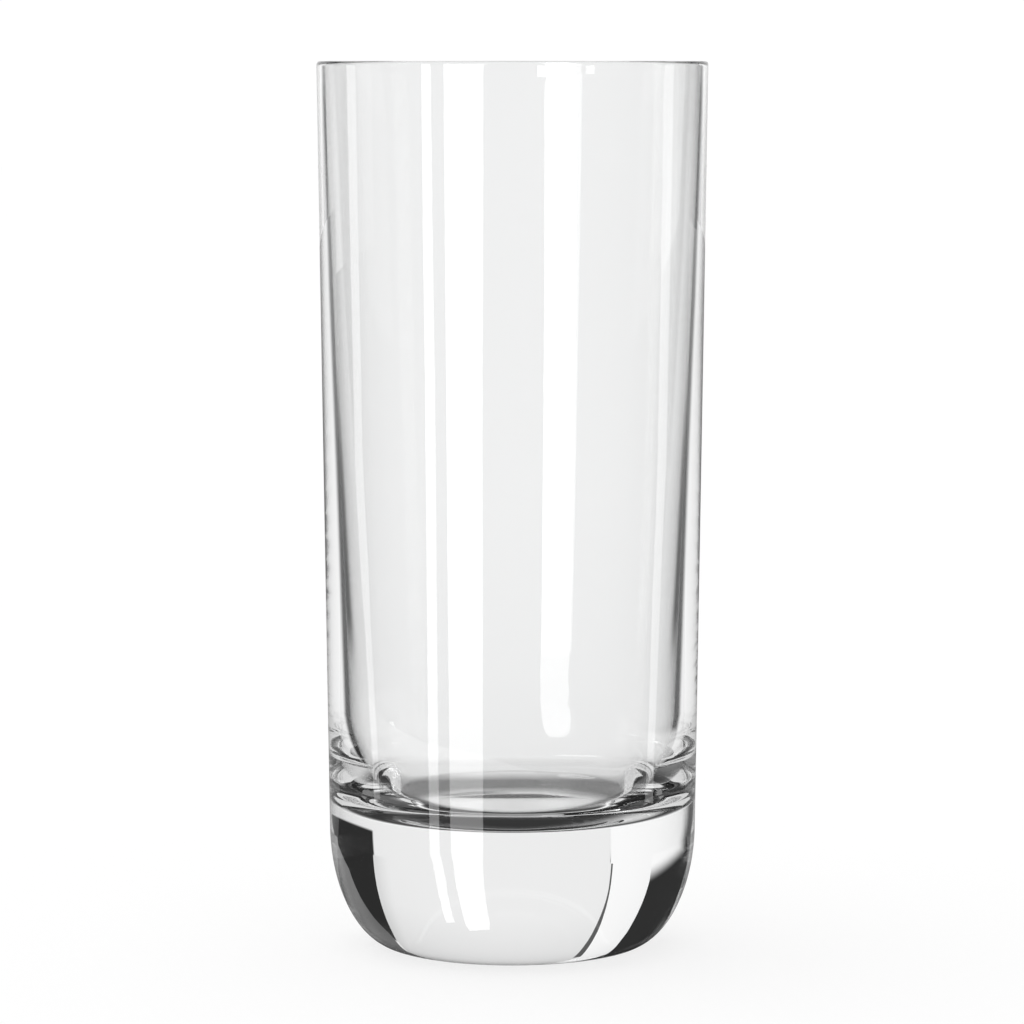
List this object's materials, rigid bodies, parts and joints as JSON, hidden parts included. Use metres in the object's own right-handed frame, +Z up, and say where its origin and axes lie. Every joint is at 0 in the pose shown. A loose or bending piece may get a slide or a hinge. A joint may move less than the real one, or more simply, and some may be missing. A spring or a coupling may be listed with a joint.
{
  "type": "highball glass",
  "caption": "Tall clear glass tumbler with a slightly tapered wall, a rounded lip, a drink space with a round bottom corner, a thick solid base and a curved heel.",
  "frame": {"origin": "middle of the foot ring, on the surface that the glass stands on", "axes": "+Z up along the glass's axis of revolution, from the foot to the rim; +X and +Y are alike"},
  "size_m": [0.0666, 0.0666, 0.152],
  "materials": {
    "clear_glass": "clear soda-lime glass, fire-polished and smooth all over"
  },
  "bodies": {
    "root": {"tumbler": "clear_glass"}
  },
  "joints": []
}
